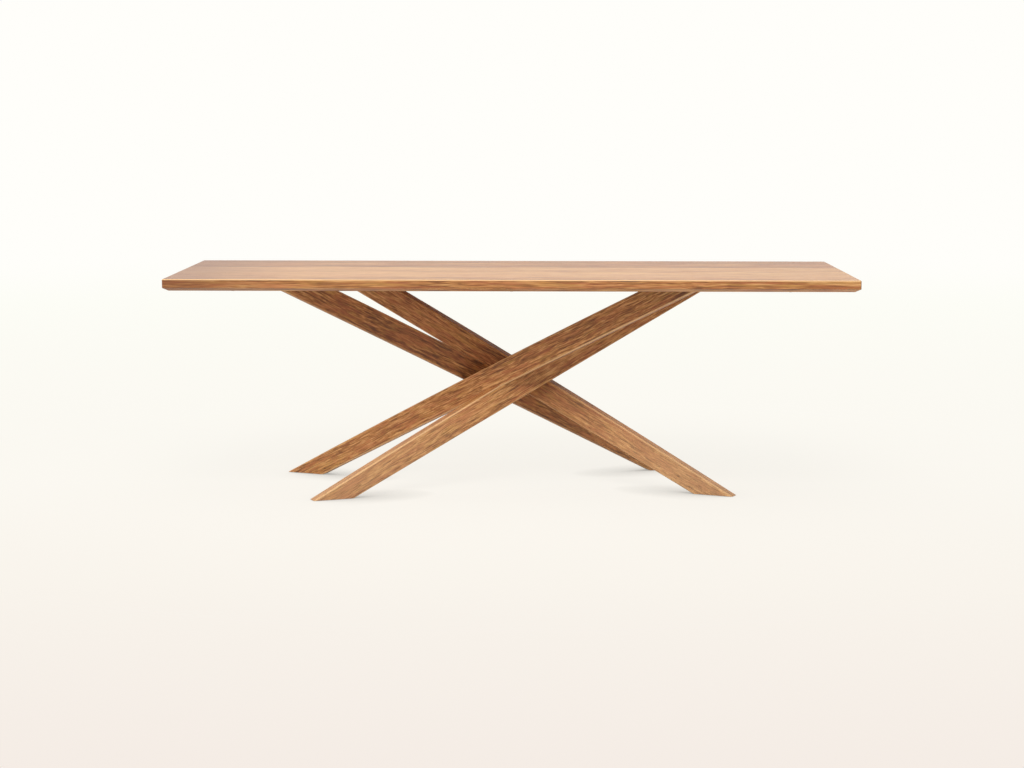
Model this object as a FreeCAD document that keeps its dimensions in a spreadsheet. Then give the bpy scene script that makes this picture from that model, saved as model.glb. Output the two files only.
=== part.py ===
import FreeCAD, Part
import math
import os
import Sketcher

# Sawbuck dining table in solid wood.
#
# Millimetres, +Z up, +X along the top, the front long side towards -Y.  The origin is on the floor,
# under the middle of the top.
#
# Four equal legs stand on edge under the top, each a tapered, slightly arched plank.  Two of them
# lean to the right and cross near the front, two lean to the left and cross near the back.  At each
# crossing the leg that passes over is housed into the one that passes under.  The back pair is the
# front pair turned half a turn about the vertical.

os.makedirs("parts", exist_ok=True)
doc = FreeCAD.newDocument("sawbuck_table")


# ---------------------------------------------------------------------------------------------
# Driving dimensions
# ---------------------------------------------------------------------------------------------

SIZES = {
    # the top
    "top_length": 2400,
    "top_width": 1000,
    "table_height": 788,
    "top_thickness": 41,
    "board_count": 8,
    "bevel_in": 20,         # under-bevel: how far it comes in under the top
    "bevel_up": 11,         # under-bevel: how far it climbs the side
    "corner_round": 6,
    "top_ease": 4,
    # the loose tongues that line up the boards
    "tongue_thick": 8,
    "tongue_width": 30,
    "tongue_stop": 70,      # bare length between a tongue's end and the end of the top
    "tongue_fit": 0.2,
    # the legs
    "leg_thick": 46,
    "foot_depth": 69.5,     # depth of the plank square to its length, at the floor
    "head_depth": 86.5,     # the same under the top
    "arch_upper": 8,        # rise of the upper edge over a straight one, at mid-length
    "arch_lower": 2,
    "leg_ease": 5,
    "end_spare": 200,       # length that is trimmed off each end of the blank, level
    "leg_inset_x": 528,     # from the end of the top in to a leg's own end, halfway between pairs
    "leg_inset_y": 203,     # the same from the long side
    "end_step_y": 116,      # how much nearer the long side the near ends stand than the far ones
    "frame_shift": -25,     # where the legs are screwed on, off the middle of the top
    "pair_shift": 12,       # how far the front pair stands to the left of that, the rear to the right
    # the crossings
    "housing": 7.5,         # depth of the housing in each leg, on the crossing's axis
    "housing_fit": 0.15,
    "dowel_dia": 14,
    "dowel_length": 60,
    "cross_offset": 18,     # dowel and screw stand this far either side of the crossing's axis
    "cross_screw_dia": 8,
    "cross_screw_length": 105,
    "cross_head_dia": 15,
    "cross_head_high": 5,
    "cross_socket": 6,
    "plug_dia": 16,
    "plug_long": 16,
    # the steel plates between the legs and the top
    "plate_length": 260,
    "plate_width": 112,
    "plate_thick": 5,
    "plate_corner": 10,
    "bolt_inset_x": 22,
    "bolt_inset_y": 18,
    "plate_fit": 0.3,
    "bolt_dia": 8,
    "bolt_reach": 9,        # how far the bolt enters the top, past the plate
    "bolt_head_dia": 15.6,
    "bolt_socket": 5,       # width of a hexagon socket over its flats
    "bolt_clearance": 1,
    "insert_dia": 12,
    "insert_length": 10,
    "thread_fit": 0.1,
    "lag_dia": 8,
    "lag_length": 34,
    "lag_pitch": 36,
    "lag_head_dia": 15,
    "lag_socket": 5,
    "screw_fit": 0.2,       # around a flat head in its countersink
    # the steel bars that keep the top flat
    "bar_end_gap": 40,      # bare wood between a bar's end and the long side of the top
    "bar_width": 40,
    "bar_thick": 8,
    "bar_corner": 6,
    "bar_fit": 0.3,
    "bar_beyond": 220,      # from the outermost leg ends out to the outer bars
    "slot_length": 14,
    "slot_width": 7,
    "slot_corner": 3,
    "bar_screw_dia": 6,
    "bar_screw_length": 30,
    "bar_screw_head_dia": 12,
    "bar_screw_head_high": 4,
    "bar_screw_socket": 4,
    # the glides under the feet
    "glide_dia": 26,
    "glide_thick": 5,
    "glide_proud": 1.5,
    "glide_edge": 1,
    "glide_spacing": 64,
    "glide_fit": 0.15,
    # all sockets in screw heads are this deep, as a share of the head's height
    "socket_share": 0.6,
    # how far a cutter reaches past the wood
    "overrun": 2,
}

sizes = doc.addObject("Spreadsheet::Sheet", "sizes")
for row, (alias, number) in enumerate(SIZES.items(), start=1):
    sizes.set(f"A{row}", alias)
    sizes.set(f"B{row}", str(number))
    sizes.setAlias(f"B{row}", alias)


# ---------------------------------------------------------------------------------------------
# Sizes worked out from the driving ones
# ---------------------------------------------------------------------------------------------

# A leg's own frame has its origin on the floor under the foot, X along the ground towards the head
# and Z up.  "inner" ends are those nearer the middle of the top's length, "outer" those nearer its
# ends: the leg that passes under has an inner foot, the one that passes over has an outer foot.
WORKED = {
    "board_width": "sizes.top_width / sizes.board_count",
    "underside": "sizes.table_height - sizes.top_thickness",
    # from a leg's foot to its own head, along the top and across it
    "leg_span_x": "sizes.top_length - 2 * sizes.leg_inset_x",
    "leg_span_y": "sizes.top_width - 2 * sizes.leg_inset_y",
    "leg_run": "sqrt(worked.leg_span_x ^ 2 + worked.leg_span_y ^ 2)",
    "leg_slope": "atan(worked.underside / worked.leg_run)",
    "leg_yaw": "atan(worked.leg_span_y / worked.leg_span_x)",
    "leg_length": "sqrt(worked.leg_run ^ 2 + worked.underside ^ 2)",
    "end_share": "sizes.end_spare / worked.leg_length",
    # how far each long edge moves along X for a step up, if it is taken as straight
    "edge_gain": "(sizes.head_depth - sizes.foot_depth) / 2",
    "upper_lean": "(worked.leg_run - worked.edge_gain * sin(worked.leg_slope))"
                  " / (worked.underside + worked.edge_gain * cos(worked.leg_slope))",
    "lower_lean": "(worked.leg_run + worked.edge_gain * sin(worked.leg_slope))"
                  " / (worked.underside - worked.edge_gain * cos(worked.leg_slope))",
    # the middles of the level faces at foot and head
    "mid_lean": "(worked.upper_lean + worked.lower_lean) / 2",
    "mid_start": "(worked.lower_lean - worked.upper_lean) * sizes.foot_depth / 4"
                 " * cos(worked.leg_slope)",
    "foot_mid_x": "worked.mid_start + sizes.glide_proud * worked.mid_lean",
    "head_mid_x": "worked.mid_start + worked.underside * worked.mid_lean",
    # the two legs of a pair lie so far apart, one above the other, that each is housed equally
    "pair_gap": "((sizes.foot_depth + sizes.head_depth) / 2 + sizes.arch_upper - sizes.arch_lower)"
                " / cos(worked.leg_slope) - 2 * sizes.housing",
    "end_step_x": "worked.pair_gap * worked.leg_span_x / worked.underside",
    "inner_x": "(worked.leg_span_x - worked.end_step_x) / 2",
    "outer_x": "(worked.leg_span_x + worked.end_step_x) / 2",
    "inner_y": "(worked.leg_span_y + sizes.end_step_y) / 2",
    "outer_y": "(worked.leg_span_y - sizes.end_step_y) / 2",
    # the crossing: its distance from the middle line, and the sloping plane where the legs meet
    "cross_y": "(worked.inner_y * worked.outer_x - worked.inner_x * worked.outer_y)"
               " / worked.leg_span_x",
    "cross_share": "worked.inner_x / worked.leg_span_x",
    "cross_arch": "4 * worked.cross_share * (1 - worked.cross_share)",
    "cross_half": "(sizes.foot_depth + (sizes.head_depth - sizes.foot_depth) * worked.cross_share)"
                  " / 2",
    "mate_z": "worked.underside * worked.cross_share"
              " + (worked.cross_half + worked.cross_arch * sizes.arch_upper) / cos(worked.leg_slope)"
              " - sizes.housing",
    "mate_slope": "atan(worked.underside / worked.leg_span_x)",
    "cross_step_z": "sizes.cross_offset * tan(worked.mate_slope)",
    "low_edge_z": "worked.underside * worked.cross_share - worked.cross_step_z"
                  " - (worked.cross_half - worked.cross_arch * sizes.arch_lower)"
                  " / cos(worked.leg_slope)",
    # the screw's head sits above its plug, inside the lower leg
    "cross_seat_z": "worked.low_edge_z + sizes.plug_long + sizes.cross_head_high - worked.mate_z",
    "plug_reach": "2 * sizes.plug_long",
    "cut_reach": "4 * sizes.leg_thick",
    # seats of bolts, screws and bars
    "bolt_x": "sizes.plate_length / 2 - sizes.bolt_inset_x",
    "bolt_y": "sizes.plate_width / 2 - sizes.bolt_inset_y",
    "plate_seat": "worked.underside + sizes.plate_thick",
    "lag_hole": "sizes.lag_dia + 2 * sizes.screw_fit",
    "lag_sink": "(sizes.lag_head_dia - sizes.lag_dia) / 2",
    "bolt_hole": "sizes.bolt_dia + 2 * sizes.bolt_clearance",
    "bolt_sink": "(sizes.bolt_head_dia - worked.bolt_hole) / 2 + sizes.screw_fit",
    "tongue_z": "worked.underside + (sizes.top_thickness - sizes.tongue_thick) / 2",
    "bar_length": "sizes.top_width - 2 * sizes.bar_end_gap",
    "bar_x": "worked.outer_x + sizes.bar_beyond",
    "first_board_y": "(worked.board_width - sizes.top_width) / 2",
}

worked = doc.addObject("Spreadsheet::Sheet", "worked")
for row, alias in enumerate(WORKED, start=1):
    worked.set(f"A{row}", alias)
    worked.setAlias(f"B{row}", alias)
for row, formula in enumerate(WORKED.values(), start=1):
    worked.set(f"B{row}", "=" + formula.replace("worked.", ""))
doc.recompute()


# ---------------------------------------------------------------------------------------------
# Helpers: placing, sketching, and copies of one fastener
# ---------------------------------------------------------------------------------------------

# Lengths closer than this are the same, when edges are picked out by height or length.
NEAR = 0.001


def at(x=0, y=0, z=0, turn=0, axis="0; 0; 1"):
    """A placement as an expression: a move, after a turn about the axis."""
    return f"placement(vector({x}; {y}; {z}); rotation(vector({axis}); {turn}))"


def place(piece, *steps):
    """Bind the piece's Placement to the product of the steps, outermost first."""
    piece.setExpression("Placement", " * ".join(steps))


def bind(piece, **formulas):
    """Bind properties of a piece to formulas, and return the piece."""
    for name, formula in formulas.items():
        piece.setExpression(name, formula)
    return piece


def box(name, length, width, height, *steps):
    """A box whose frame is in the middle of its bottom face."""
    piece = bind(doc.addObject("Part::Box", name), Length=length, Width=width, Height=height)
    place(piece, *steps, at(f"-({length}) / 2", f"-({width}) / 2", 0))
    return piece


def rod(name, diameter, height, *steps):
    """A cylinder that stands on its frame's origin."""
    piece = bind(doc.addObject("Part::Cylinder", name), Radius=f"({diameter}) / 2", Height=height)
    place(piece, *steps)
    return piece


def joined(name, pieces):
    """One tool made of many."""
    piece = doc.addObject("Part::MultiFuse", name)
    piece.Shapes = pieces
    return piece


def cut(name, base, tool):
    """The base without the tool."""
    piece = doc.addObject("Part::Cut", name)
    piece.Base = base
    piece.Tool = tool
    return piece


def common(name, base, tool):
    """What the base and the tool share."""
    piece = doc.addObject("Part::Common", name)
    piece.Base = base
    piece.Tool = tool
    return piece


def body(name):
    return doc.addObject("PartDesign::Body", name)


def origin_part(owner, role):
    """A plane or axis of the body's own origin, by its role."""
    return next(part for part in owner.Origin.OriginFeatures if part.Role == role)


def sketch(owner, name, role):
    """A sketch on one of the body's own origin planes."""
    page = owner.newObject("Sketcher::SketchObject", name)
    page.AttachmentSupport = [(origin_part(owner, role), "")]
    page.MapMode = "FlatFace"
    return page


def drawing(formula):
    """The present value of a formula, for the first drawing of a sketch."""
    return float(sizes.evalExpression(formula))


def point(corner):
    """The present place of a corner whose two coordinates are formulas."""
    return FreeCAD.Vector(drawing(corner[0]), drawing(corner[1]), 0)


def measure(page, kind, where, formula):
    """A dimension of the sketch, bound to its formula."""
    index = page.addConstraint(Sketcher.Constraint(kind, *where, drawing(formula)))
    page.setExpression(f"Constraints[{index}]", formula)


def rounded_rectangle(page, half_x, half_y, radius):
    """A rectangle about the sketch's origin, with round corners, all bound to formulas."""
    x, y, r = drawing(half_x), drawing(half_y), drawing(radius)
    first = page.GeometryCount
    sides = [((-x + r, -y), (x - r, -y)), ((x, -y + r), (x, y - r)),
             ((x - r, y), (-x + r, y)), ((-x, y - r), (-x, -y + r))]
    for start, end in sides:
        page.addGeometry(Part.LineSegment(FreeCAD.Vector(*start), FreeCAD.Vector(*end)))
    centres = [(x - r, -y + r), (x - r, y - r), (-x + r, y - r), (-x + r, -y + r)]
    for i, centre in enumerate(centres):
        ring = Part.Circle(FreeCAD.Vector(*centre), FreeCAD.Vector(0, 0, 1), r)
        page.addGeometry(Part.ArcOfCircle(ring, (i - 1) * math.pi / 2, i * math.pi / 2))
    for i in range(4):
        arc = first + 4 + i
        page.addConstraint(Sketcher.Constraint("Tangent", first + i, 2, arc, 1))
        page.addConstraint(Sketcher.Constraint("Tangent", arc, 2, first + (i + 1) % 4, 1))
        page.addConstraint(Sketcher.Constraint(("Horizontal", "Vertical")[i % 2], first + i))
    for arc in range(first + 5, first + 8):
        page.addConstraint(Sketcher.Constraint("Equal", first + 4, arc))
    measure(page, "Radius", (first + 4,), radius)
    measure(page, "DistanceY", (-1, 1, first, 1), f"-({half_y})")
    measure(page, "DistanceX", (-1, 1, first + 1, 1), half_x)
    measure(page, "DistanceY", (-1, 1, first + 2, 1), half_y)
    measure(page, "DistanceX", (-1, 1, first + 3, 1), f"-({half_x})")


def circle(page, x, y, diameter):
    """A circle whose centre and diameter are bound to formulas."""
    centre = FreeCAD.Vector(drawing(x), drawing(y), 0)
    ring = Part.Circle(centre, FreeCAD.Vector(0, 0, 1), drawing(diameter) / 2)
    index = page.addGeometry(ring)
    measure(page, "DistanceX", (-1, 1, index, 3), x)
    measure(page, "DistanceY", (-1, 1, index, 3), y)
    measure(page, "Diameter", (index,), diameter)


def outline(page, corners):
    """A closed line through corners that are bound to formulas."""
    count = len(corners)
    for i in range(count):
        page.addGeometry(Part.LineSegment(point(corners[i]), point(corners[(i + 1) % count])))
    for i, (x, y) in enumerate(corners):
        page.addConstraint(Sketcher.Constraint("Coincident", i, 2, (i + 1) % count, 1))
        measure(page, "DistanceX", (-1, 1, i, 1), x)
        measure(page, "DistanceY", (-1, 1, i, 1), y)


def hexagon(page, across):
    """A regular hexagon about the sketch's origin, bound to its width over the flats."""
    reach = drawing(across) / math.sqrt(3)
    tips = [FreeCAD.Vector(reach * math.cos(i * math.pi / 3), reach * math.sin(i * math.pi / 3))
            for i in range(6)]
    for i in range(6):
        page.addGeometry(Part.LineSegment(tips[i], tips[(i + 1) % 6]))
    ring = page.addGeometry(Part.Circle(FreeCAD.Vector(), FreeCAD.Vector(0, 0, 1), reach), True)
    page.addConstraint(Sketcher.Constraint("Coincident", ring, 3, -1, 1))
    measure(page, "Diameter", (ring,), f"2 * ({across}) / sqrt(3)")
    page.addConstraint(Sketcher.Constraint("PointOnObject", 0, 1, -1))
    for i in range(6):
        page.addConstraint(Sketcher.Constraint("Coincident", i, 2, (i + 1) % 6, 1))
        page.addConstraint(Sketcher.Constraint("PointOnObject", i, 1, ring))
    for i in range(1, 6):
        page.addConstraint(Sketcher.Constraint("Equal", 0, i))


def pad(owner, page, length, middle=False):
    """The sketch made solid, upwards or to both sides of its plane."""
    feature = owner.newObject("PartDesign::Pad", page.Name + "_pad")
    feature.Profile = page
    feature.Midplane = middle
    feature.setExpression("Length", length)
    doc.recompute()
    return feature


def pocket(owner, page, depth, upwards=False):
    """The sketch cut out of the body; it has to take something away."""
    before = owner.Shape.Volume
    feature = owner.newObject("PartDesign::Pocket", page.Name + "_pocket")
    feature.Profile = page
    feature.Reversed = upwards
    feature.setExpression("Length", depth)
    doc.recompute()
    assert owner.Shape.Volume < before, f"{feature.Name} cuts nothing"
    return feature


def dress(owner, kind, base, picked, **formulas):
    """A Fillet or Chamfer on the edges of the base feature that the test picks."""
    edges = [f"Edge{i}" for i, edge in enumerate(base.Shape.Edges, start=1) if picked(edge)]
    feature = owner.newObject("PartDesign::" + kind, f"{base.Name}_{kind.lower()}")
    feature.Base = (base, edges)
    if "Size2" in formulas:
        feature.ChamferType = "Two distances"
    bind(feature, **formulas)
    doc.recompute()
    return feature


def level(edge):
    """The height at which an edge lies flat, or None."""
    low, high = edge.BoundBox.ZMin, edge.BoundBox.ZMax
    return round((low + high) / 2, 3) if high - low < NEAR else None


def headed_screw(name, shank_dia, shank_long, head_dia, head_high, crown, socket):
    """A screw that points up, with its seat at the origin and a hexagon socket in its head."""
    screw = body(name)
    shank = sketch(screw, name + "_shank", "XY_Plane")
    circle(shank, "0", "0", shank_dia)
    pad(screw, shank, shank_long)
    head = sketch(screw, name + "_head", "XY_Plane")
    head.setExpression("AttachmentOffset", at(z=f"-({head_high})"))
    circle(head, "0", "0", head_dia)
    head_pad = pad(screw, head, head_high)
    head_end = drawing(f"-({head_high})")
    dress(screw, "Fillet", head_pad,
          lambda edge: level(edge) is not None and abs(level(edge) - head_end) < NEAR,
          Radius=crown)
    hollow = sketch(screw, name + "_socket", "XY_Plane")
    hollow.setExpression("AttachmentOffset", at(z=f"-({head_high})"))
    hexagon(hollow, socket)
    pocket(screw, hollow, f"{head_high} * sizes.socket_share", upwards=True)
    return screw


def flat_head_screw(name, shank_dia, length, head_dia, tip_long, socket):
    """A countersunk screw that points up, with the face of its head at the origin."""
    screw = body(name)
    profile = sketch(screw, name + "_profile", "XZ_Plane")
    outline(profile, [("0", "0"),
                      (f"{head_dia} / 2", "0"),
                      (f"{shank_dia} / 2", f"({head_dia} - {shank_dia}) / 2"),
                      (f"{shank_dia} / 2", f"{length} - {tip_long}"),
                      ("0", length)])
    turned = screw.newObject("PartDesign::Revolution", name + "_turned")
    turned.Profile = profile
    turned.ReferenceAxis = (profile, ["V_Axis"])
    doc.recompute()
    hollow = sketch(screw, name + "_socket", "XY_Plane")
    hexagon(hollow, socket)
    pocket(screw, hollow, f"({head_dia} - {shank_dia}) / 2 * sizes.socket_share", upwards=True)
    return screw


def copies(name, master, places):
    """One node of equal pieces: a copy of the master at each place."""
    links = []
    for number, steps in enumerate(places, start=1):
        link = doc.addObject("App::Link", f"{name}_{number}")
        link.LinkedObject = master
        place(link, *steps)
        links.append(link)
    group = doc.addObject("Part::Compound", name)
    group.Links = links
    return group


nodes = []


def node(piece):
    """Mark a piece as a finished sub-part, named by its own label."""
    piece.Label = piece.Name
    nodes.append(piece)
    return piece


# ---------------------------------------------------------------------------------------------
# Frames of the legs and of the crossings
# ---------------------------------------------------------------------------------------------

# Each leg is named by the corner where its foot stands.  The second pair is the first one turned
# half a turn about the vertical through the middle of the four legs.
PAIR_FRAME = {"front": at("sizes.frame_shift - sizes.pair_shift", turn="0 deg"),
              "rear": at("sizes.frame_shift + sizes.pair_shift", turn="180 deg")}
UNDER_FRAME = at("-worked.inner_x", "-worked.inner_y", 0, "worked.leg_yaw")
OVER_FRAME = at("-worked.outer_x", "worked.outer_y", 0, "-worked.leg_yaw")
LEG_FRAME = {
    "front_left": (PAIR_FRAME["front"], UNDER_FRAME),
    "rear_left": (PAIR_FRAME["front"], OVER_FRAME),
    "rear_right": (PAIR_FRAME["rear"], UNDER_FRAME),
    "front_right": (PAIR_FRAME["rear"], OVER_FRAME),
}
LEG_PAIR = {"front_left": "front", "rear_left": "front",
            "rear_right": "rear", "front_right": "rear"}
PASSES_UNDER = ("front_left", "rear_right")
CROSS_FRAME = {pair: (frame, at(0, "-worked.cross_y", "worked.mate_z"))
               for pair, frame in PAIR_FRAME.items()}

# Places on a leg's head and foot, in the leg's own frame.
BOLT_PLACES = [(f"worked.head_mid_x + {i} * worked.bolt_x", f"{j} * worked.bolt_y")
               for i in (-1, 1) for j in (-1, 1)]
LAG_COUNT = 3
LAG_PLACES = [(f"worked.head_mid_x - {i} * sizes.lag_pitch", "0") for i in range(LAG_COUNT)]
GLIDE_PLACES = [(f"worked.foot_mid_x + {i} * sizes.glide_spacing / 2", "0") for i in (-1, 1)]


# ---------------------------------------------------------------------------------------------
# The top: boards glued edge to edge, then planed and shaped as one panel
# ---------------------------------------------------------------------------------------------

# The panel is what two blocks share: one with round corners and an eased upper edge, one with the
# bevel around its underside.
rounded_block = body("rounded_block")
block_outline = sketch(rounded_block, "block_outline", "XY_Plane")
rounded_rectangle(block_outline, "sizes.top_length / 2", "sizes.top_width / 2",
                  "sizes.corner_round")
block_pad = pad(rounded_block, block_outline, "sizes.top_thickness")
dress(rounded_block, "Fillet", block_pad, lambda edge: level(edge) == sizes.top_thickness,
      Radius="sizes.top_ease")
place(rounded_block, at(z="worked.underside"))

bevelled_block = body("bevelled_block")
square_slab = bevelled_block.newObject("PartDesign::AdditiveBox", "square_slab")
bind(square_slab, Length="sizes.top_length", Width="sizes.top_width",
     Height="sizes.top_thickness",
     Placement=at("-sizes.top_length / 2", "-sizes.top_width / 2"))
doc.recompute()
dress(bevelled_block, "Chamfer", square_slab, lambda edge: level(edge) == 0,
      Size="sizes.bevel_up", Size2="sizes.bevel_in")
place(bevelled_block, at(z="worked.underside"))
panel = common("top_panel", rounded_block, bevelled_block)

# Each joint between two boards has a loose tongue in a pair of grooves, hidden at both ends.
tongues = []
tongue_grooves = []
for number in range(1, int(sizes.board_count)):
    joint_y = f"{number} * worked.board_width - sizes.top_width / 2"
    tongues.append(
        box(f"tongue_{number}", "sizes.top_length - 2 * sizes.tongue_stop",
            "sizes.tongue_width", "sizes.tongue_thick", at(0, joint_y, "worked.tongue_z")))
    tongue_grooves.append(
        box(f"tongue_groove_{number}",
            "sizes.top_length - 2 * sizes.tongue_stop + 2 * sizes.tongue_fit",
            "sizes.tongue_width + 2 * sizes.tongue_fit",
            "sizes.tongue_thick + 2 * sizes.tongue_fit",
            at(0, joint_y, "worked.tongue_z - sizes.tongue_fit")))
top_tongues = doc.addObject("Part::Compound", "top_tongues")
top_tongues.Links = tongues
node(top_tongues)

# Grooves across the underside for the steel bars, and bores for the bars' screws.
BAR_X = {"left": "-worked.bar_x", "middle": "0", "right": "worked.bar_x"}
BOARD_Y = [f"worked.first_board_y + {i} * worked.board_width"
           for i in range(int(sizes.board_count))]
BAR_SCREW_PLACES = [(at(x, y, "worked.underside"),) for x in BAR_X.values() for y in BOARD_Y]
bar_grooves = [
    box(f"bar_groove_{side}", "sizes.bar_width + 2 * sizes.bar_fit",
        "worked.bar_length + 2 * sizes.bar_fit", "sizes.bar_thick", at(x, 0, "worked.underside"))
    for side, x in BAR_X.items()]
bar_screw_bores = [
    rod(f"bar_screw_bore_{number}", "sizes.bar_screw_dia + 2 * sizes.thread_fit",
        "sizes.bar_screw_length + sizes.thread_fit", *steps)
    for number, steps in enumerate(BAR_SCREW_PLACES, start=1)]

# Pockets for the leg plates, which lie flush with the underside, and bores in their floors for the
# threaded inserts.
pocket_block = body("pocket_block")
pocket_outline = sketch(pocket_block, "pocket_outline", "XY_Plane")
rounded_rectangle(pocket_outline, "sizes.plate_length / 2 + sizes.plate_fit",
                  "sizes.plate_width / 2 + sizes.plate_fit", "sizes.plate_corner + sizes.plate_fit")
pad(pocket_block, pocket_outline, "sizes.plate_thick")
plate_pockets = []
for corner, frames in LEG_FRAME.items():
    plate_pocket = doc.addObject("App::Link", f"plate_pocket_{corner}")
    plate_pocket.LinkedObject = pocket_block
    place(plate_pocket, *frames, at("worked.head_mid_x", 0, "worked.underside"))
    plate_pockets.append(plate_pocket)
INSERT_PLACES = [(*frames, at(x, y, "worked.plate_seat"))
                 for frames in LEG_FRAME.values() for x, y in BOLT_PLACES]
insert_bores = [
    rod(f"insert_bore_{number}", "sizes.insert_dia + 2 * sizes.thread_fit",
        "sizes.insert_length + sizes.thread_fit", *steps)
    for number, steps in enumerate(INSERT_PLACES, start=1)]
panel_cuts = joined("panel_cuts", tongue_grooves + bar_grooves + bar_screw_bores
                    + plate_pockets + insert_bores)

# The boards, numbered from the front to the back.
for number, middle_y in enumerate(BOARD_Y, start=1):
    strip = box(f"strip_{number}", "sizes.top_length + 2 * sizes.overrun", "worked.board_width",
                "sizes.top_thickness + 2 * sizes.overrun",
                at(0, middle_y, "worked.underside - sizes.overrun"))
    whole_board = common(f"whole_board_{number}", panel, strip)
    node(cut(f"top_board_{number}", whole_board, panel_cuts))


# ---------------------------------------------------------------------------------------------
# The steel bars across the underside, which keep the boards flat and let them move
# ---------------------------------------------------------------------------------------------

for side, x in BAR_X.items():
    bar = body(f"flat_bar_{side}")
    bar_outline = sketch(bar, f"bar_outline_{side}", "XY_Plane")
    rounded_rectangle(bar_outline, "sizes.bar_width / 2", "worked.bar_length / 2",
                      "sizes.bar_corner")
    pad(bar, bar_outline, "sizes.bar_thick")
    # one slot for each board, so that the screw can follow the board as it swells and shrinks
    bar_slot = sketch(bar, f"bar_slot_{side}", "XY_Plane")
    bar_slot.setExpression("AttachmentOffset", at(0, "worked.first_board_y"))
    rounded_rectangle(bar_slot, "sizes.slot_width / 2", "sizes.slot_length / 2",
                      "sizes.slot_corner")
    first_slot = pocket(bar, bar_slot, "sizes.bar_thick + sizes.overrun", upwards=True)
    slots = bar.newObject("PartDesign::LinearPattern", f"bar_slots_{side}")
    slots.Originals = [first_slot]
    slots.Direction = (origin_part(bar, "Y_Axis"), [""])
    bind(slots, Length="worked.board_width * (sizes.board_count - 1)",
         Occurrences="sizes.board_count")
    bar.Tip = slots
    place(bar, at(x, 0, "worked.underside"))
    node(bar)

# pan-head wood screws that hold the bars, one in each slot
bar_screw = headed_screw("bar_screw", "sizes.bar_screw_dia", "sizes.bar_screw_length",
                         "sizes.bar_screw_head_dia", "sizes.bar_screw_head_high",
                         "sizes.bar_screw_head_high / 2", "sizes.bar_screw_socket")
node(copies("bar_screws", bar_screw, BAR_SCREW_PLACES))


# ---------------------------------------------------------------------------------------------
# The legs
# ---------------------------------------------------------------------------------------------

# The blank runs through three sections square to the leg, which widen towards the head and are
# offset in the middle, so that both long edges rise in a shallow arch.  It is trimmed level at both
# ends.
leg_blank = body("leg_blank")
SHARES = {"foot": "-worked.end_share", "middle": "0.5", "head": "(1 + worked.end_share)"}
leg_sections = []
for name, share in SHARES.items():
    arch = f"4 * {share} * (1 - {share})"
    section = sketch(leg_blank, f"leg_section_{name}", "XY_Plane")
    section.setExpression(
        "AttachmentOffset",
        at(f"-(sizes.arch_upper + sizes.arch_lower) / 2 * {arch}", 0, f"worked.leg_length * {share}"))
    rounded_rectangle(
        section,
        f"(sizes.foot_depth + (sizes.head_depth - sizes.foot_depth) * {share}"
        f" + (sizes.arch_upper - sizes.arch_lower) * {arch}) / 2",
        "sizes.leg_thick / 2", "sizes.leg_ease")
    leg_sections.append(section)
doc.recompute()
leg_loft = leg_blank.newObject("PartDesign::AdditiveLoft", "leg_loft")
leg_loft.Profile = leg_sections[0]
leg_loft.Sections = leg_sections[1:]
place(leg_blank, at(turn="90 deg - worked.leg_slope", axis="0; 1; 0"))
level_slab = box("level_slab", "2 * worked.leg_length + 2 * sizes.end_spare",
                 "2 * sizes.leg_thick", "worked.underside - sizes.glide_proud",
                 at(z="sizes.glide_proud"))
trimmed_leg = common("trimmed_leg", leg_blank, level_slab)

# Each leg is the blank with half of a crossing cut out of it, and bores for its fasteners.
CROSS_PIN = at("sizes.cross_offset", 0, "worked.cross_step_z - sizes.dowel_length / 2")
CROSS_SEAT = at("-sizes.cross_offset", 0, "worked.cross_seat_z")
CROSS_PLUG = at("-sizes.cross_offset", 0,
                "worked.cross_seat_z - sizes.cross_head_high - worked.plug_reach")
blanks = {}
for corner, frames in LEG_FRAME.items():
    blank = doc.addObject("App::Link", f"leg_blank_{corner}")
    blank.LinkedObject = trimmed_leg
    place(blank, *frames)
    blanks[corner] = blank
    crossing = CROSS_FRAME[LEG_PAIR[corner]]
    under = corner in PASSES_UNDER

    # the housing: what lies past the sloping plane where the legs meet, as wide as the other leg
    partner_slab = box(f"partner_slab_{corner}", "worked.cut_reach",
                       "sizes.leg_thick + 2 * sizes.housing_fit", "worked.cut_reach", *crossing,
                       at(z="-worked.cut_reach / 2", turn=("-" if under else "") + "worked.leg_yaw"))
    past_plane = box(f"past_plane_{corner}", "worked.cut_reach", "worked.cut_reach",
                     "worked.cut_reach", *crossing,
                     at(turn="-worked.mate_slope", axis="0; 1; 0"),
                     at(z="0" if under else "-worked.cut_reach"))
    cutters = [common(f"housing_{corner}", partner_slab, past_plane)]

    cutters.append(rod(f"dowel_bore_{corner}", "sizes.dowel_dia", "sizes.dowel_length",
                       *crossing, CROSS_PIN))
    cutters.append(rod(f"cross_screw_bore_{corner}",
                       "sizes.cross_screw_dia + 2 * sizes.thread_fit",
                       "sizes.cross_screw_length + sizes.thread_fit", *crossing, CROSS_SEAT))
    if under:
        cutters.append(rod(f"cross_plug_bore_{corner}", "sizes.plug_dia",
                           "worked.plug_reach + sizes.cross_head_high", *crossing, CROSS_PLUG))
    for number, (x, y) in enumerate(LAG_PLACES, start=1):
        depth = "sizes.lag_length + sizes.thread_fit"
        cutters.append(rod(f"lag_bore_{corner}_{number}", "sizes.lag_dia + 2 * sizes.thread_fit",
                           depth, *frames, at(x, y, f"worked.underside - ({depth})")))
    for number, (x, y) in enumerate(GLIDE_PLACES, start=1):
        cutters.append(rod(f"glide_recess_{corner}_{number}",
                           "sizes.glide_dia + 2 * sizes.glide_fit", "sizes.glide_thick",
                           *frames, at(x, y)))
    node(cut(f"leg_{corner}", blank, joined(f"leg_cuts_{corner}", cutters)))


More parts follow.
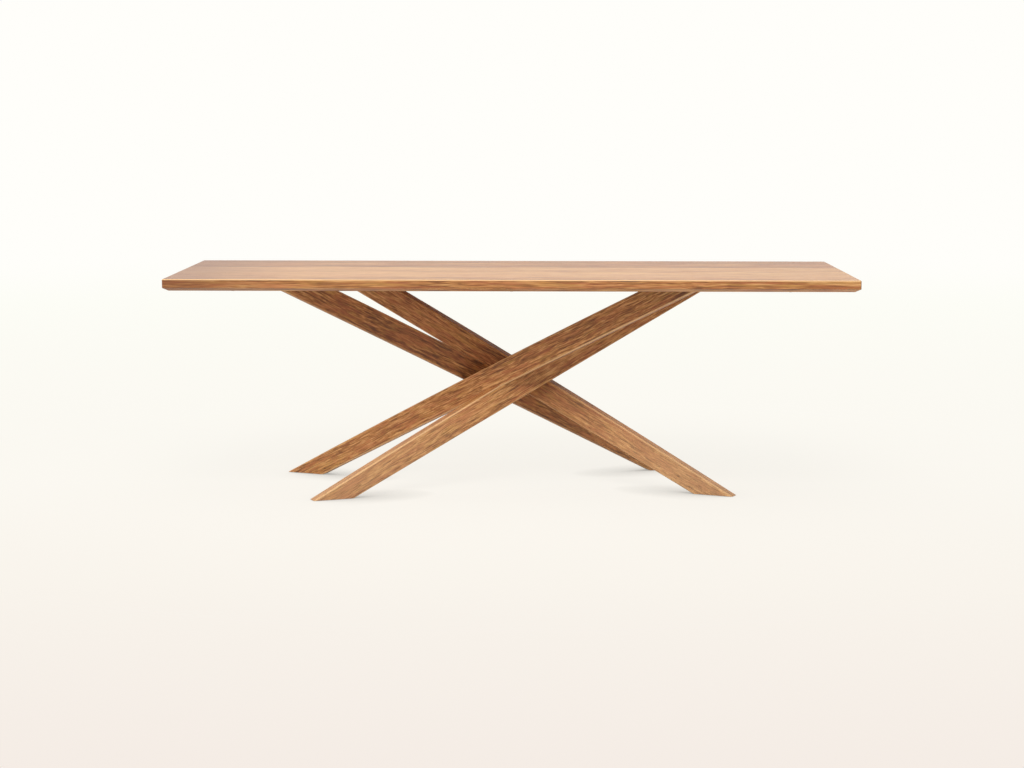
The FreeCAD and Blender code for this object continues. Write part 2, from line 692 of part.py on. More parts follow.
# ---------------------------------------------------------------------------------------------
# The crossings: a dowel and a long screw pin each pair of legs together, upright
# ---------------------------------------------------------------------------------------------

dowels = [rod(f"dowel_{pair}", "sizes.dowel_dia", "sizes.dowel_length", *crossing, CROSS_PIN)
          for pair, crossing in CROSS_FRAME.items()]
crossing_dowels = doc.addObject("Part::Compound", "crossing_dowels")
crossing_dowels.Links = dowels
node(crossing_dowels)

cross_screw = headed_screw("cross_screw", "sizes.cross_screw_dia", "sizes.cross_screw_length",
                           "sizes.cross_head_dia", "sizes.cross_head_high",
                           "sizes.cross_head_high / 4", "sizes.cross_socket")
node(copies("crossing_screws", cross_screw,
            [(*crossing, CROSS_SEAT) for crossing in CROSS_FRAME.values()]))

# wooden plugs hide the heads, flush with the sloping underside of the lower leg
plugs = []
for corner in PASSES_UNDER:
    crossing = CROSS_FRAME[LEG_PAIR[corner]]
    long_plug = rod(f"long_plug_{corner}", "sizes.plug_dia", "worked.plug_reach",
                    *crossing, CROSS_PLUG)
    plugs.append(common(f"plug_{corner}", blanks[corner], long_plug))
screw_plugs = doc.addObject("Part::Compound", "screw_plugs")
screw_plugs.Links = plugs
node(screw_plugs)


# ---------------------------------------------------------------------------------------------
# The steel plates between the legs and the top, and what holds them
# ---------------------------------------------------------------------------------------------

for corner, frames in LEG_FRAME.items():
    plate = body(f"leg_plate_{corner}")
    plate_outline = sketch(plate, f"plate_outline_{corner}", "XY_Plane")
    rounded_rectangle(plate_outline, "sizes.plate_length / 2", "sizes.plate_width / 2",
                      "sizes.plate_corner")
    for i in (-1, 1):
        for j in (-1, 1):
            circle(plate_outline, f"{i} * worked.bolt_x", f"{j} * worked.bolt_y",
                   "worked.bolt_hole")
    for i in range(LAG_COUNT):
        circle(plate_outline, f"-{i} * sizes.lag_pitch", "0", "worked.lag_hole")
    flat_plate = pad(plate, plate_outline, "sizes.plate_thick")
    # countersinks: for the lag screws on the side that faces the top, for the bolts on the other
    lag_rim = drawing("pi * worked.lag_hole")
    bolt_rim = drawing("pi * worked.bolt_hole")
    lag_sinks = dress(plate, "Chamfer", flat_plate,
                      lambda edge: level(edge) == sizes.plate_thick
                      and abs(edge.Length - lag_rim) < NEAR,
                      Size="worked.lag_sink")
    dress(plate, "Chamfer", lag_sinks,
          lambda edge: level(edge) == 0 and abs(edge.Length - bolt_rim) < NEAR,
          Size="worked.bolt_sink")
    place(plate, *frames, at("worked.head_mid_x", 0, "worked.underside"))
    node(plate)

# lag screws, from the plate down into the leg's end
lag_screw = flat_head_screw("lag_screw", "sizes.lag_dia", "(sizes.plate_thick + sizes.lag_length)",
                            "sizes.lag_head_dia", "sizes.lag_dia", "sizes.lag_socket")
node(copies("leg_lag_screws", lag_screw,
            [(*frames, at(x, y, "worked.plate_seat", turn="180 deg", axis="1; 0; 0"))
             for frames in LEG_FRAME.values() for x, y in LAG_PLACES]))

# bolts that hold each plate up to the top, with a threaded insert each
plate_bolt = flat_head_screw("plate_bolt", "sizes.bolt_dia",
                             "(sizes.plate_thick + sizes.bolt_reach)", "sizes.bolt_head_dia", "0",
                             "sizes.bolt_socket")
node(copies("plate_bolts", plate_bolt,
            [(*frames, at(x, y, "worked.underside")) for frames in LEG_FRAME.values()
             for x, y in BOLT_PLACES]))
insert = body("insert")
insert_outline = sketch(insert, "insert_outline", "XY_Plane")
circle(insert_outline, "0", "0", "sizes.insert_dia")
circle(insert_outline, "0", "0", "sizes.bolt_dia + 2 * sizes.thread_fit")
pad(insert, insert_outline, "sizes.insert_length")
node(copies("threaded_inserts", insert, INSERT_PLACES))


# ---------------------------------------------------------------------------------------------
# The glides under the feet
# ---------------------------------------------------------------------------------------------

glide = body("glide")
glide_outline = sketch(glide, "glide_outline", "XY_Plane")
circle(glide_outline, "0", "0", "sizes.glide_dia")
glide_pad = pad(glide, glide_outline, "sizes.glide_thick")
dress(glide, "Fillet", glide_pad, lambda edge: level(edge) == 0, Radius="sizes.glide_edge")
for corner, frames in LEG_FRAME.items():
    node(copies(f"foot_glides_{corner}", glide, [(*frames, at(x, y)) for x, y in GLIDE_PLACES]))


# ---------------------------------------------------------------------------------------------
# Checks and files
# ---------------------------------------------------------------------------------------------

doc.recompute()
for thing in doc.Objects:
    assert not {"Invalid", "Error"} & set(thing.State), f"{thing.Name} did not recompute"
for piece in nodes:
    assert not piece.Shape.isNull() and piece.Shape.isValid(), f"{piece.Name} has a bad shape"
    piece.Shape.exportStep(f"parts/{piece.Label}.step")
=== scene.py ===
import math

import bpy
import numpy as np
from mathutils import Matrix, Vector

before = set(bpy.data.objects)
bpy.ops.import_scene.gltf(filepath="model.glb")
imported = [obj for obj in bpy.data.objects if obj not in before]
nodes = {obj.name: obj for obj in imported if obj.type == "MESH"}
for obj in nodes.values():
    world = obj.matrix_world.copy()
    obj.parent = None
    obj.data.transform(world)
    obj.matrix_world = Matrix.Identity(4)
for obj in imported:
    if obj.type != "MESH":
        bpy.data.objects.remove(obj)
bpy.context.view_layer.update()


# ---------------------------------------------------------------------------------------------
# The top: eight solid oak boards, glued edge to edge, planed flush and oiled.  The grain runs
# along the table.  Each board comes from another plank, so tone and figure change at each joint.
# ---------------------------------------------------------------------------------------------

BOARD_COUNT = 8
BOARD_WIDTH = 0.125
TOP_LEFT_END = -1.2
DARKER_UP_TO = -0.72     # from the left end to here the top's wood is darker

# oiled oak: from the brown of the latewood to the honey of the earlywood
OAK_TONES = [(0.20, "#6A3D1E"), (0.33, "#97602F"), (0.45, "#BE8149"), (0.62, "#E0AC70")]
WARM_OAK = "#B3683F"
STRAW_OAK = "#C9964F"
HEARTWOOD = "#7E4826"
PORE_BROWN = "#4E2A14"
END_GRAIN = "#5E3519"
# a painted highlight: the pale that the eased edges are given where they would catch the light
EDGE_HIGHLIGHT_TINT = "#F2C894"


def shade(code):
    """An sRGB hex colour as linear RGBA: below 0.04045 c/12.92, else ((c+0.055)/1.055)^2.4."""
    srgb = np.array([int(code[i:i + 2], 16) for i in (1, 3, 5)]) / 255
    linear = np.where(srgb <= 0.04045, srgb / 12.92, ((srgb + 0.055) / 1.055) ** 2.4)
    return (*linear.tolist(), 1.0)


def add(tree, kind, feeds=None, out=0, stops=None, **settings):
    """Add a node with its settings, values and links, and return one of its outputs.

    Feeds are keyed by the socket's name, or by its number where a node has several of one name:
    a Math node's values are 0 to 2, and a colour Mix has its share at 0 and its colours at 6, 7.
    """
    node = tree.nodes.new("ShaderNode" + kind)
    for name, value in settings.items():
        setattr(node, name, value)
    if stops:
        for place, colour in stops[2:]:
            node.color_ramp.elements.new(place)
        for element, (place, colour) in zip(node.color_ramp.elements, stops):
            element.position = place
            element.color = shade(colour) if isinstance(colour, str) else (*[colour] * 3, 1)
    for socket, value in (feeds or {}).items():
        if isinstance(value, bpy.types.NodeSocket):
            tree.links.new(value, node.inputs[socket])
        else:
            node.inputs[socket].default_value = value
    return node.outputs[out]


def blank_material(name):
    """A new material with an empty node tree."""
    material = bpy.data.materials.new(name)
    material.use_nodes = True
    material.node_tree.nodes.clear()
    return material, material.node_tree


def add_output(tree, surface, kind="Material"):
    """End the tree in its surface output."""
    last = tree.nodes.new("ShaderNodeOutput" + kind)
    tree.links.new(surface, last.inputs["Surface"])


def dress(material, *names):
    """Give the material to every slot of the named CAD nodes."""
    for name in names:
        mesh = nodes[name].data
        if not mesh.materials:
            mesh.materials.append(material)
        for i in range(len(mesh.materials)):
            mesh.materials[i] = material


def split_into_boards(tree, y, first_number, width):
    """The number of the board that a point lies on, and its distance from that board's middle.

    The board's number is the whole part of y / width, added to the first number, and the
    distance is the part left over, less half a width.
    """
    steps = add(tree, "Math", {0: y, 1: width}, operation="DIVIDE")
    count = add(tree, "Math", {0: steps}, operation="FLOOR")
    number = add(tree, "Math", {0: count, 1: first_number}, operation="ADD")
    part = add(tree, "Math", {0: steps, 1: count}, operation="SUBTRACT")
    across = add(tree, "Math", {0: part, 1: width, 2: -width / 2}, operation="MULTIPLY_ADD")
    return number, across


def ends_and_edges(tree, turn, upper_highlight, under):
    """How far a face is end grain, and how strong the painted highlight is on an eased edge.

    With the normal n in the plank's frame, end grain grows with |nx|.  |ny| * nz is greatest
    halfway round an upper edge, and least halfway round a lower one.  Both edges get a painted
    highlight: a pale band where an eased edge would catch the light.
    """
    normal = add(tree, "NewGeometry", out="Normal")
    normal = add(tree, "Mapping", {"Vector": normal, "Rotation": turn}, vector_type="TEXTURE")
    nx, ny, nz = [add(tree, "SeparateXYZ", {0: normal}, out=i) for i in range(3)]
    end = add(tree, "Math", {0: nx}, operation="ABSOLUTE")
    end = add(tree, "MapRange", {"Value": end, "From Min": 0.45, "From Max": 0.9, "To Max": 0.6})
    sideways = add(tree, "Math", {0: ny}, operation="ABSOLUTE")
    edge = add(tree, "Math", {0: sideways, 1: nz}, operation="MULTIPLY")
    upper = add(tree, "MapRange", {"Value": edge, "From Min": 0.06, "From Max": 0.40,
                                   "To Max": upper_highlight})
    lower = add(tree, "MapRange", {"Value": edge, "From Min": -0.06, "From Max": -0.40,
                                   "To Max": under})
    return end, add(tree, "Math", {0: upper, 1: lower}, operation="ADD")


def oiled_oak(name, place, turn, plank_number, *, upper_highlight, under, outset, spread, satin, coarse,
              curl, strokes, board_width=None):
    """Solid oak with an oil finish: warm, figured along the grain, with a low satin sheen.

    place, turn    the plank's own frame: X along the grain, Z towards its upper edge
    plank_number   picks the plank; with a board_width each board across Y has a number of its own
    upper_highlight, under  how strong the painted highlight is on the eased edges, above and below
    outset         from where, to where, how much and in what colour the plank's start differs
    spread         how much the tone differs from board to board
    satin, coarse  roughness of the oil, and strength of the open grain's relief
    curl           how quickly the figure changes along the grain
    strokes        how dark the dark strokes and pin knots are
    """
    material, tree = blank_material(name)
    where = add(tree, "TexCoord", out="Object")
    plank = add(tree, "Mapping", {"Vector": where, "Location": place, "Rotation": turn},
                vector_type="TEXTURE")
    x, y, z = [add(tree, "SeparateXYZ", {0: plank}, out=i) for i in range(3)]
    number, across = plank_number, y
    if board_width:
        number, across = split_into_boards(tree, y, plank_number, board_width)
    # three random numbers for each board, which also carry it far off into the patterns
    lot = add(tree, "TexWhiteNoise", {"W": number}, out="Color", noise_dimensions="1D")
    lot_a, lot_b, lot_c = [add(tree, "SeparateColor", {0: lot}, out=i) for i in range(3)]
    far = add(tree, "VectorMath", {0: lot, 1: (9.0, 5.0, 5.0)}, operation="MULTIPLY")
    own = add(tree, "VectorMath", {0: plank, 1: far}, operation="ADD")

    def grain(per_x, per_y, detail=3.0, rough=0.55, out=0):
        """Noise with so many waves per metre along the grain and across it."""
        lay = add(tree, "Mapping", {"Vector": own, "Scale": (per_x * curl, per_y, per_y)})
        return add(tree, "TexNoise", {"Vector": lay, "Scale": 1.0, "Detail": detail,
                                      "Roughness": rough}, out=out)

    # the grain wanders up to 4 mm to the side, over about 200 mm
    wander = grain(5.0, 13.0, 2.0, out=1)
    wander = add(tree, "VectorMath", {0: wander, 1: (0.5, 0.5, 0.5)}, operation="SUBTRACT")
    wander = add(tree, "VectorMath", {0: wander, 1: (0.0, 0.019, 0.019)}, operation="MULTIPLY")
    own = add(tree, "VectorMath", {0: own, 1: wander}, operation="ADD")

    # Growth rings: the distance from a slanting, bent pith line, in steps of one ring.  Real rings
    # are 2 to 3 mm apart; they are drawn 5.5 mm apart, so that they can be seen.
    ring_step = 0.0055
    bend = grain(0.9, 3.0, 2.0)
    side = add(tree, "Math", {0: lot_a, 1: 0.10, 2: -0.05}, operation="MULTIPLY_ADD")
    side = add(tree, "Math", {0: side, 1: across}, operation="ADD")
    side = add(tree, "Math", {0: bend, 1: 0.05, 2: side}, operation="MULTIPLY_ADD")
    deep = add(tree, "Math", {0: lot_b, 1: 0.06, 2: 0.02}, operation="MULTIPLY_ADD")
    deep = add(tree, "Math", {0: x, 1: 0.012, 2: deep}, operation="MULTIPLY_ADD")
    deep = add(tree, "Math", {0: deep, 1: z}, operation="ADD")
    spoke = add(tree, "CombineXYZ", {0: 0.0, 1: side, 2: deep})
    radius = add(tree, "VectorMath", {0: spoke}, operation="LENGTH", out="Value")
    ripple = grain(2.0, 14.0, 2.0)
    radius = add(tree, "Math", {0: ripple, 1: 0.012, 2: radius}, operation="MULTIPLY_ADD")
    ring = add(tree, "Math", {0: radius, 1: 1 / ring_step}, operation="MULTIPLY")
    ring = add(tree, "Math", {0: ring}, operation="FRACT")
    ring = add(tree, "ValToRGB", {0: ring},
               stops=[(0.0, 0.25), (0.18, 0.0), (0.45, 0.65), (0.85, 1.0), (1.0, 0.25)])

    # One wave of each: streaks 330 x 8 mm, flecks 50 x 5 mm, slow changes of tone 1100 x 140 mm,
    # and fibres 55 x 1.3 mm.  Real fibres are hundredths of a millimetre wide, too fine to show.
    streak = grain(3.0, 130.0, 4.0, 0.62)
    fleck = grain(20.0, 190.0, 2.0, 0.65)
    fibre = grain(18.0, 800.0, 3.0, 0.65)
    slow = grain(0.9, 7.0, 3.0)
    tone = -1.055        # each part is about 0.5, so that the sum falls among the oak's tones
    for part, share in ((streak, 0.68), (fleck, 0.98), (slow, 0.42), (fibre, 0.60), (ring, 0.09),
                        (lot_c, spread)):
        tone = add(tree, "Math", {0: part, 1: share, 2: tone}, operation="MULTIPLY_ADD")
    colour = add(tree, "ValToRGB", {0: tone}, stops=OAK_TONES)

    # patches of warmer and of yellower wood, and a different tint at the plank's start: on the
    # top a darker heartwood tone, on the legs painted light that makes the foot paler
    warm = grain(10.0, 60.0, 3.0, 0.65)
    warm = add(tree, "MapRange", {"Value": warm, "From Min": 0.46, "From Max": 0.64,
                                  "To Max": 0.6})
    straw = grain(12.0, 75.0, 3.0, 0.65)
    straw = add(tree, "MapRange", {"Value": straw, "From Min": 0.53, "From Max": 0.68,
                                   "To Max": 0.55})
    start, reach, much, start_tint = outset
    other = add(tree, "MapRange", {"Value": x, "From Min": start, "From Max": reach,
                                   "To Min": much, "To Max": 0.0},
                interpolation_type="SMOOTHSTEP")

    # Dark strokes in groups, pores, and pin knots.  Real pores are about 0.3 mm wide; they are
    # drawn 1 mm wide and 25 mm long.  The knots are 4 to 9 mm across, stretched along the grain.
    stroke = grain(19.0, 290.0, 1.0, 0.5)
    stroke = add(tree, "MapRange", {"Value": stroke, "From Min": 0.54, "From Max": 0.68})
    group = grain(2.4, 12.0, 2.0)
    group = add(tree, "MapRange", {"Value": group, "From Min": 0.40, "From Max": 0.60,
                                   "To Min": 0.35})
    stroke = add(tree, "Math", {0: stroke, 1: group}, operation="MULTIPLY")
    pore = grain(40.0, 1000.0, 1.0, 0.5)
    pore = add(tree, "MapRange", {"Value": pore, "From Min": 0.58, "From Max": 0.70})
    dark = add(tree, "Math", {0: stroke, 1: strokes}, operation="MULTIPLY")
    dark = add(tree, "Math", {0: pore, 1: 0.36, 2: dark}, operation="MULTIPLY_ADD", use_clamp=True)
    lay = add(tree, "Mapping", {"Vector": own, "Scale": (9.0, 20.0, 20.0)})
    knot = add(tree, "TexVoronoi", {"Vector": lay, "Scale": 1.0}, out="Distance")
    knot = add(tree, "MapRange", {"Value": knot, "From Min": 0.09, "From Max": 0.04,
                                  "To Max": strokes})
    dark = add(tree, "Math", {0: dark, 1: knot}, operation="MAXIMUM")

    # end grain drinks more oil and darkens; the eased edges get a painted highlight, pale where
    # they would catch the light, and are made duller
    end, edge_highlight = ends_and_edges(tree, turn, upper_highlight, under)
    for share, tint in ((warm, WARM_OAK), (straw, STRAW_OAK), (other, start_tint),
                        (dark, PORE_BROWN), (end, END_GRAIN), (edge_highlight, EDGE_HIGHLIGHT_TINT)):
        colour = add(tree, "Mix", {0: share, 6: colour, 7: shade(tint)}, out=2, data_type="RGBA")
    dullness = satin - 0.1
    for part, share in ((streak, 0.2), (dark, 0.25), (edge_highlight, 0.35)):
        dullness = add(tree, "Math", {0: part, 1: share, 2: dullness}, operation="MULTIPLY_ADD")
    height = 0.0
    for part, share in ((fibre, 0.35), (streak, 0.35), (dark, -1.2)):
        height = add(tree, "Math", {0: part, 1: share, 2: height}, operation="MULTIPLY_ADD")
    relief = add(tree, "Bump", {"Height": height, "Strength": coarse, "Distance": 0.0006})
    add_output(tree, add(tree, "BsdfPrincipled", {"Base Color": colour, "Roughness": dullness,
                                                  "Normal": relief, "IOR": 1.5}))
    return material


# planed and sanded smoother than the legs, of calmer wood, with the strongest painted
# highlight along its arris
top_oak = oiled_oak("oiled_oak_top", place=(0, 0, 0), turn=(0, 0, 0), plank_number=236.0,
                    board_width=BOARD_WIDTH, upper_highlight=1.0, under=0.0, spread=0.34,
                    outset=(TOP_LEFT_END, DARKER_UP_TO, 0.65, HEARTWOOD),
                    satin=0.345, coarse=0.22, curl=0.45, strokes=0.3)
dress(top_oak, *[f"top_board_{i + 1}" for i in range(BOARD_COUNT)])


# ---------------------------------------------------------------------------------------------
# The loose tongues in the joints between the boards: straight-grained steamed beech, left
# unfinished.  They are glued into grooves in both boards and stop short of the table's ends.
# ---------------------------------------------------------------------------------------------

def plain_beech(name, stretch):
    """Unfinished beech: even and pale, with short dark flecks and no sheen.

    The stretch is the number of waves per metre along each axis, fewest along the grain: veins
    of 110 x 8 mm.  Flecks are seven times finer, 16 x 1.2 mm; real ones are half as wide.
    """
    material, tree = blank_material(name)
    where = add(tree, "TexCoord", out="Object")
    lay = add(tree, "Mapping", {"Vector": where, "Scale": stretch})
    vein = add(tree, "TexNoise", {"Vector": lay, "Scale": 1.0, "Detail": 4.0})
    fleck = add(tree, "TexNoise", {"Vector": lay, "Scale": 7.0, "Detail": 1.0})
    fleck = add(tree, "MapRange", {"Value": fleck, "From Min": 0.60, "From Max": 0.70,
                                   "To Max": 0.6})
    colour = add(tree, "ValToRGB", {0: vein},
                 stops=[(0.3, "#B98F66"), (0.5, "#D2AC80"), (0.7, "#E2C39B")])
    colour = add(tree, "Mix", {0: fleck, 6: colour, 7: shade("#8F6540")}, out=2,
                 data_type="RGBA")
    relief = add(tree, "Bump", {"Height": vein, "Strength": 0.2, "Distance": 0.0004})
    add_output(tree, add(tree, "BsdfPrincipled", {"Base Color": colour, "Roughness": 0.6,
                                                  "Normal": relief, "IOR": 1.5}))
    return material


dress(plain_beech("plain_beech_tongue", (9.0, 120.0, 120.0)), "top_tongues")


# ---------------------------------------------------------------------------------------------
# The flat bars: three hot-rolled steel bars, slotted and powder-coated black.  They are let
# into grooves across the underside and keep the boards flat while these swell and shrink.
# ---------------------------------------------------------------------------------------------

# Black powder coat, fused on in an oven: an even near-black with a fine pebbled skin.  The real
# pebbles are about 0.4 mm; they are drawn 1.5 mm wide, so that they can be seen.
black_coat, tree = blank_material("black_powder_coat")
where = add(tree, "TexCoord", out="Object")
pebble = add(tree, "TexNoise", {"Vector": where, "Scale": 650.0, "Detail": 2.0})
cloud = add(tree, "TexNoise", {"Vector": where, "Scale": 14.0, "Detail": 3.0})
colour = add(tree, "ValToRGB", {0: cloud}, stops=[(0.35, "#1B1B1C"), (0.65, "#272728")])
dullness = add(tree, "MapRange", {"Value": cloud, "From Min": 0.3, "From Max": 0.7,
                                  "To Min": 0.42, "To Max": 0.56})
relief = add(tree, "Bump", {"Height": pebble, "Strength": 0.35, "Distance": 0.0004})
add_output(tree, add(tree, "BsdfPrincipled", {"Base Color": colour, "Roughness": dullness,
                                              "Normal": relief, "IOR": 1.5}))
dress(black_coat, "flat_bar_left", "flat_bar_middle", "flat_bar_right")


# ---------------------------------------------------------------------------------------------
# The bar screws: pan-head wood screws of zinc-plated steel, one for each board in each bar.
# They stand in the bars' slots, so that the boards can move.
# ---------------------------------------------------------------------------------------------

def plated_steel(name, dark, light, roughness):
    """Steel with a thin plated or blackened skin: a slightly cloudy metal, finely scratched.

    Real scratches are about 0.1 mm wide; they are drawn 1 mm wide, so that they can be seen.
    """
    material, tree = blank_material(name)
    where = add(tree, "TexCoord", out="Object")
    cloud = add(tree, "TexNoise", {"Vector": where, "Scale": 160.0, "Detail": 3.0})
    scratch = add(tree, "TexNoise", {"Vector": where, "Scale": 900.0, "Detail": 2.0,
                                     "Distortion": 1.5})
    colour = add(tree, "ValToRGB", {0: cloud}, stops=[(0.3, dark), (0.7, light)])
    dullness = add(tree, "MapRange", {"Value": scratch, "From Min": 0.3, "From Max": 0.7,
                                      "To Min": roughness - 0.07, "To Max": roughness + 0.1})
    relief = add(tree, "Bump", {"Height": scratch, "Strength": 0.15, "Distance": 0.0002})
    add_output(tree, add(tree, "BsdfPrincipled", {"Base Color": colour, "Metallic": 1.0,
                                                  "Roughness": dullness, "Normal": relief}))
    return material


bright_zinc = plated_steel("bright_zinc_plate", "#A9ABAA", "#CDCFCC", 0.30)
dress(bright_zinc, "bar_screws")


# ---------------------------------------------------------------------------------------------
# The legs: four tapered, slightly arched oak planks of one pattern, standing on edge and oiled
# like the top.  Their edges are eased by hand, and each pair is housed together where it crosses.
# ---------------------------------------------------------------------------------------------

# painted light: each leg is tinted paler towards its foot, which stands clear of the top's shade
FOOT_LIGHT_TINT = "#DCB48A"
FOOT_LIGHT_REACH = 0.9      # how far up from the foot the painted light fades out
RUN, SHIFT, RISE = 1.344, 0.594, 0.747     # foot to head: along the table, across it and up
YAW = math.atan2(SHIFT, RUN)
SLOPE = math.atan2(RISE, math.hypot(RUN, SHIFT))

# each leg: its foot, its turn about the upright, the number of its plank, how much painted
# light pales its foot, and how strong the painted highlight is on its upper and lower edges
LEGS = {
    "front_left": ((-0.63772, -0.355, 0.0), YAW, 31.0, 0.35, 0.75, 0.2),
    "rear_left": ((-0.78028, 0.239, 0.0), -YAW, 38.0, 0.05, 0.3, 0.7),
    "rear_right": ((0.58772, 0.355, 0.0), math.pi + YAW, 45.0, 0.15, 0.3, 0.2),
    "front_right": ((0.73028, -0.239, 0.0), math.pi - YAW, 52.0, 0.45, 0.5, 0.3),
}
leg_oaks = {}
for corner, (foot, yaw, plank_number, foot_light, upper_highlight, under) in LEGS.items():
    leg_oaks[corner] = oiled_oak(f"oiled_oak_leg_{corner}", foot, (0, -SLOPE, yaw), plank_number,
                                 upper_highlight=upper_highlight, under=under, spread=0.1,
                                 outset=(0.0, FOOT_LIGHT_REACH, foot_light, FOOT_LIGHT_TINT),
                                 satin=0.52, coarse=0.35, curl=1.0, strokes=0.5)
    dress(leg_oaks[corner], f"leg_{corner}")


# ---------------------------------------------------------------------------------------------
# The crossings: in each a beech dowel, glued upright into both legs, and beside it a long
# zinc-plated screw from below.  An oak plug, glued in and cut flush, hides the screw's head.
# ---------------------------------------------------------------------------------------------

dress(plain_beech("plain_beech_dowel", (120.0, 120.0, 9.0)), "crossing_dowels")
dress(bright_zinc, "crossing_screws")
dress(leg_oaks["front_left"], "screw_plugs")


# ---------------------------------------------------------------------------------------------
# The leg plates: one cut steel plate on the head of each leg, powder-coated black, let flush
# into the underside of the top.
# ---------------------------------------------------------------------------------------------

dress(black_coat, *[f"leg_plate_{corner}" for corner in LEGS])


# ---------------------------------------------------------------------------------------------
# The plates' fixings: zinc-plated lag screws go down into each leg's end grain, and countersunk
# bolts, blackened in a hot oxide bath, hold the plates up in zinc-plated threaded inserts.
# ---------------------------------------------------------------------------------------------

dress(plated_steel("black_oxide_steel", "#232324", "#343435", 0.38), "plate_bolts")
dress(bright_zinc, "leg_lag_screws", "threaded_inserts")


# ---------------------------------------------------------------------------------------------
# The glides: two round pads of dark brown nylon under each foot, moulded, and pressed into
# bores in its level face so that they stand just proud of the wood.
# ---------------------------------------------------------------------------------------------

# Moulded nylon: dark, faintly mottled and half dull.  The mould's texture is really finer than
# 0.5 mm; it is drawn 3 mm wide, so that it can be seen.
nylon, tree = blank_material("dark_nylon")
where = add(tree, "TexCoord", out="Object")
mottle = add(tree, "TexNoise", {"Vector": where, "Scale": 300.0, "Detail": 3.0})
colour = add(tree, "ValToRGB", {0: mottle}, stops=[(0.35, "#1F1A17"), (0.65, "#2C2622")])
dullness = add(tree, "MapRange", {"Value": mottle, "From Min": 0.3, "From Max": 0.7,
                                  "To Min": 0.4, "To Max": 0.6})
relief = add(tree, "Bump", {"Height": mottle, "Strength": 0.2, "Distance": 0.0003})
add_output(tree, add(tree, "BsdfPrincipled", {"Base Color": colour, "Roughness": dullness,
                                              "Normal": relief, "IOR": 1.53}))
dress(nylon, *[f"foot_glides_{corner}" for corner in LEGS])


# ---------------------------------------------------------------------------------------------
# The studio: a pale painted floor that runs on as the backdrop, a pale room and four softboxes.
# It is only there to show the table, and isn't part of it.
# ---------------------------------------------------------------------------------------------

FLOOR_REACH = 80.0       # half the floor's side
CONTACT_REACH = 0.14     # how far from a foot the floor takes its contact shade
WALL_WHITE = "#FFFEFA"
BOUNCE_GREY = "#E7E6E3"  # the floor as the light meets it
LAMP_WHITE = (1, 0.985, 0.96)


def seen_rays(tree):
    """1 for rays from the camera, off gloss and through glass, and 0 for rays that carry light."""
    seen = add(tree, "LightPath", out="Is Camera Ray")
    for kind in ("Is Glossy Ray", "Is Transmission Ray"):
        other = add(tree, "LightPath", out=kind)
        seen = add(tree, "Math", {0: seen, 1: other}, operation="MAXIMUM")
    return seen


floor_mesh = bpy.data.meshes.new("studio_floor")
floor_mesh.from_pydata([(-FLOOR_REACH, -FLOOR_REACH, 0), (FLOOR_REACH, -FLOOR_REACH, 0),
                        (FLOOR_REACH, FLOOR_REACH, 0), (-FLOOR_REACH, FLOOR_REACH, 0)], [],
                       [(0, 1, 2, 3)])
floor = bpy.data.objects.new("studio_floor", floor_mesh)
bpy.context.scene.collection.objects.link(floor)

# Matt emulsion paint: even, without sheen.  Seen directly it is mostly its own colour, so that it
# stays as pale far away as near, with a soft shadow.  For the light it is a plain matt floor.
floor_paint, tree = blank_material("painted_studio_floor")
where = add(tree, "TexCoord", out="Object")
depth = add(tree, "SeparateXYZ", {0: where}, out=1)
depth = add(tree, "MapRange", {"Value": depth, "From Min": -4.0, "From Max": 16.0})
tint = add(tree, "ValToRGB", {0: depth},
           stops=[(0.0, "#F4EBE4"), (0.11, "#F9F4EC"), (0.20, "#FBF8F1"), (0.60, "#FDFDF6"),
                  (1.0, WALL_WHITE)])
ground = add(tree, "VectorMath", {0: where}, operation="LENGTH", out="Value")
away = add(tree, "MapRange", {"Value": ground, "From Min": 8.0, "From Max": 14.0},
           interpolation_type="SMOOTHSTEP")
tint = add(tree, "Mix", {0: away, 6: tint, 7: shade(WALL_WHITE)}, out=2, data_type="RGBA")
seen = seen_rays(tree)
own_share = add(tree, "MapRange", {"Value": ground, "From Min": 0.7, "From Max": 2.4,
                                   "To Min": 0.9, "To Max": 1.0},
                interpolation_type="SMOOTHSTEP")
own_share = add(tree, "Math", {0: own_share, 1: seen}, operation="MULTIPLY")
body = add(tree, "Mix", {0: seen, 6: shade(BOUNCE_GREY), 7: tint}, out=2, data_type="RGBA")
matt = add(tree, "BsdfDiffuse", {"Color": body})
# close to what stands on it the glow is darkened by ambient occlusion: a painted contact shadow
painted_contact_shadow = add(tree, "AmbientOcclusion", {"Distance": CONTACT_REACH}, out="AO", samples=8)
painted_contact_shadow = add(tree, "MapRange", {"Value": painted_contact_shadow, "To Min": 0.4, "To Max": 1.0})
glow = add(tree, "Emission", {"Color": tint, "Strength": painted_contact_shadow})
add_output(tree, add(tree, "MixShader", {0: own_share, 1: matt, 2: glow}))
floor_mesh.materials.append(floor_paint)

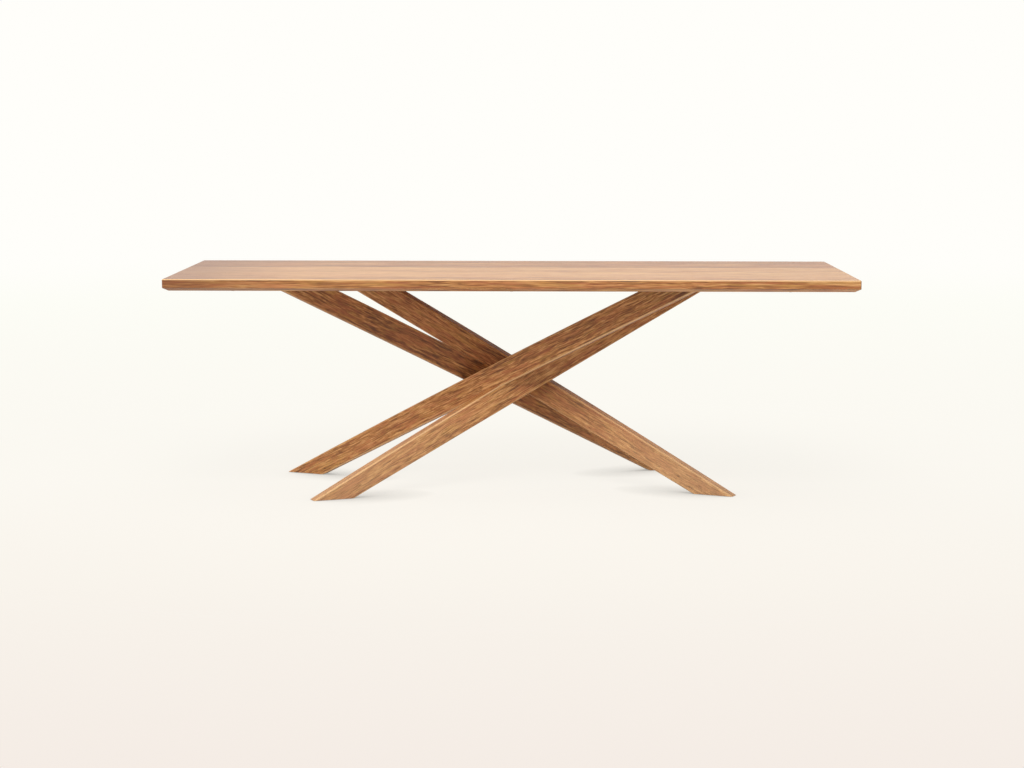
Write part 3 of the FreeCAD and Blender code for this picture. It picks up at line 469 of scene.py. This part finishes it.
# the room: a plain warm grey level of light, and white to look at
world = bpy.data.worlds.new("studio")
bpy.context.scene.world = world
world.use_nodes = True
tree = world.node_tree
tree.nodes.clear()
room_light = add(tree, "Background", {"Color": (*LAMP_WHITE, 1), "Strength": 0.235})
wall = add(tree, "Background", {"Color": shade(WALL_WHITE), "Strength": 1.0})
room = add(tree, "MixShader", {0: seen_rays(tree), 1: room_light, 2: wall})
add_output(tree, room, "World")


def softbox(name, place, target, size, watts, tone, mirrored=True):
    """A rectangular area lamp that looks at its target; its mirror image can be left out."""
    lamp = bpy.data.lights.new(name, "AREA")
    lamp.shape = "RECTANGLE"
    lamp.size, lamp.size_y = size
    lamp.energy = watts
    lamp.color = tone
    box = bpy.data.objects.new(name, lamp)
    box.location = place
    box.visible_glossy = mirrored
    box.rotation_euler = (Vector(target) - Vector(place)).to_track_quat("-Z", "Y").to_euler()
    bpy.context.scene.collection.objects.link(box)


LEG_MIDDLE = (0, 0, 0.4)
softbox("front_softbox", (0.0, -5.2, 5.2), LEG_MIDDLE, (3.6, 2.6), 320, (1, 0.99, 0.96))
softbox("left_softbox", (-4.6, 0.4, 1.5), LEG_MIDDLE, (2.6, 2.0), 110, LAMP_WHITE, False)
softbox("right_softbox", (4.6, 0.4, 1.5), LEG_MIDDLE, (2.6, 2.0), 25, LAMP_WHITE, False)
softbox("overhead_softbox", (0.2, 0.0, 4.2), (0, 0, 0.7), (4.5, 3.0), 48, (1, 0.98, 0.94))

# the camera: a long lens in front of the table, a little above the top and almost level
CAMERA_PLACE = (0.075994, -8.251958, 1.360142)
PAN, LOOK_DOWN, ROLL = 0.538306, 6.850772, 0.085206     # degrees
camera_data = bpy.data.cameras.new("camera")
camera_data.sensor_width = 36.0
camera_data.lens = 79.6743
camera_data.clip_end = 400
camera = bpy.data.objects.new("camera", camera_data)
camera.matrix_world = (Matrix.Translation(CAMERA_PLACE)
                       @ Matrix.Rotation(math.radians(PAN), 4, "Z")
                       @ Matrix.Rotation(math.radians(90 - LOOK_DOWN), 4, "X")
                       @ Matrix.Rotation(math.radians(ROLL), 4, "Z"))
bpy.context.scene.collection.objects.link(camera)
bpy.context.scene.camera = camera
bpy.context.scene.view_settings.view_transform = "Standard"
